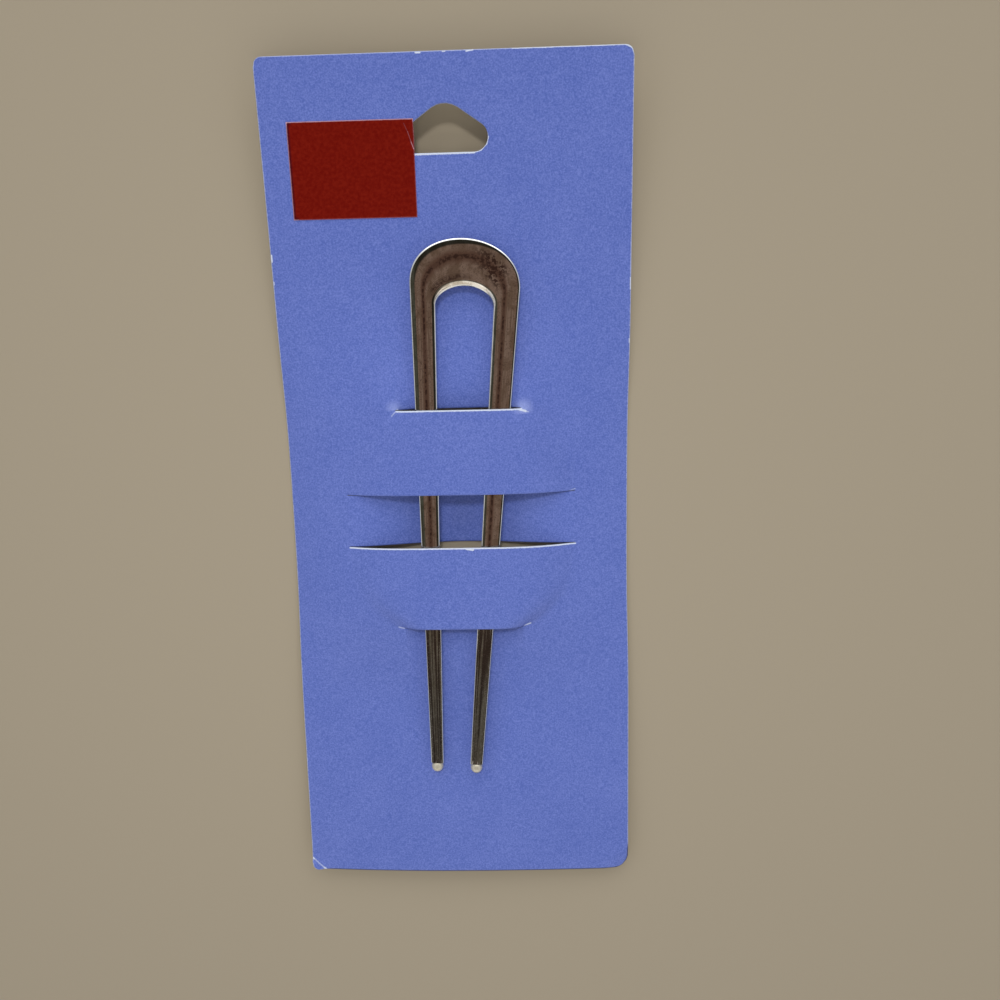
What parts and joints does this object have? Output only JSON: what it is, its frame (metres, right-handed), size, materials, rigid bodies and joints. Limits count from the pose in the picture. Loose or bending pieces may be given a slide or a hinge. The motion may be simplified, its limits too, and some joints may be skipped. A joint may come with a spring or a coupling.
{
  "type": "u-shaped hairpin on a display card",
  "caption": "Flat polished metal hairpin with a broad arched head, tapering legs and ball tips, woven through the slits of a bowed paperboard display card with a hang hole.",
  "frame": {"origin": "under the middle of the card, on the surface it lies on", "axes": "+X across the card to the right seen from its face, +Y up the card towards its hang hole and the hairpin's head, +Z out of its face, up from the surface it lies on"},
  "size_m": [0.0762, 0.1824, 0.0065],
  "materials": {
    "card": "matte periwinkle blue ink on white paperboard",
    "metal": "polished silver-tone plating, slightly warm",
    "label": "satin dark red self-adhesive label, unprinted"
  },
  "bodies": {
    "root": {"backing_card": "card", "hairpin": "metal", "label_sticker": "label"}
  },
  "joints": []
}
